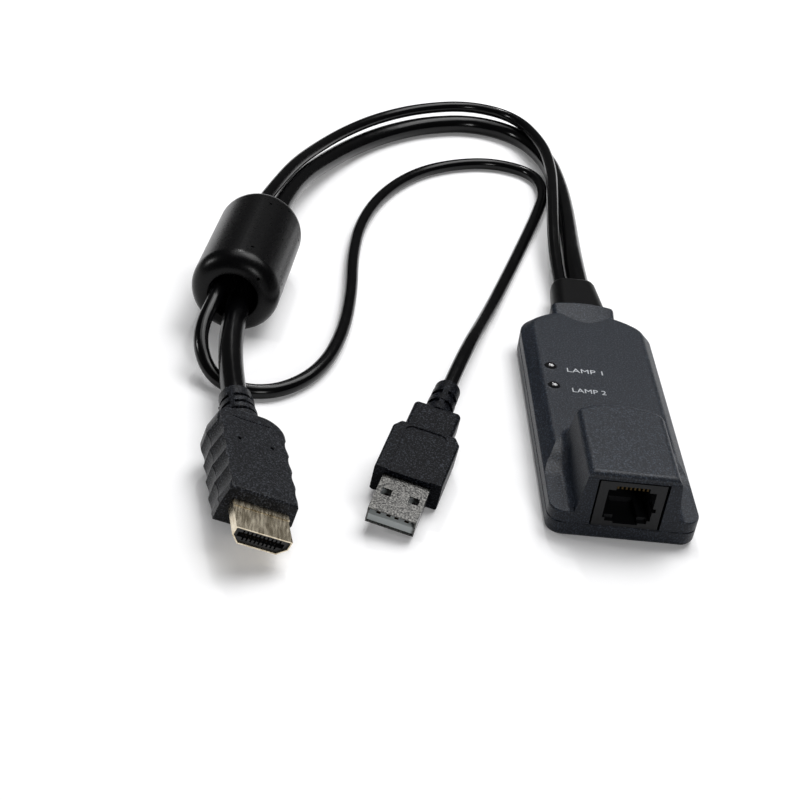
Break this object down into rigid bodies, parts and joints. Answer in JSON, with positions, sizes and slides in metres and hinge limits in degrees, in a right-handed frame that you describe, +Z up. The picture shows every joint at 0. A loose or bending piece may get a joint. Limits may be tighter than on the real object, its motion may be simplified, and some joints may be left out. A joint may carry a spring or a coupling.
{
  "type": "kvm dongle",
  "caption": "Slim moulded adapter housing with a hooded network jack, and two captive cords through one ferrite bead to a video plug and a data plug.",
  "frame": {"origin": "middle of the housing's footprint, on the surface it lies on", "axes": "+X across the housing's width, +Y from the network jack towards the cords, +Z up"},
  "size_m": [0.1323, 0.2712, 0.025],
  "materials": {
    "housing": "fine-grained satin charcoal plastic",
    "soft_black": "smooth soft black vinyl",
    "lens": "glossy smoked light pipe",
    "jack": "dark grey moulded plastic",
    "contact_gold": "thin gold plating",
    "board": "green lacquered board",
    "led": "clear moulded diode",
    "chip": "black moulded package",
    "header": "natural white nylon",
    "lead": "grey bundled wires",
    "screw": "zinc-plated steel",
    "bead": "satin black moulded jacket",
    "core": "dark grey sintered ferrite",
    "cord": "glossy black vinyl jacket",
    "plug_black": "fine-textured black overmould",
    "video_metal": "warm nickel-plated steel",
    "insulator": "black moulded insulator",
    "data_metal": "nickel-plated steel",
    "tongue": "white moulded tongue"
  },
  "bodies": {
    "root": {"upper_shell": "housing", "lower_shell": "housing", "cord_grommet": "soft_black", "power_lens": "lens", "active_lens": "lens", "network_jack_body": "jack", "network_jack_contacts": "contact_gold", "circuit_board": "board", "power_led": "led", "active_led": "led", "main_processor": "chip", "memory_chip": "chip", "network_transformer": "chip", "video_wire_header": "header", "data_wire_header": "header", "video_wire_lead": "lead", "data_wire_lead": "lead", "case_screws": "screw", "ferrite_jacket": "bead", "ferrite_core": "core", "video_cord": "cord", "data_cord": "cord", "video_plug_overmould": "plug_black", "video_plug_shell": "video_metal", "video_plug_insulator": "insulator", "video_plug_contacts": "contact_gold", "data_plug_overmould": "plug_black", "data_plug_shell": "data_metal", "data_plug_tongue": "tongue", "data_plug_contacts": "contact_gold"}
  },
  "joints": []
}
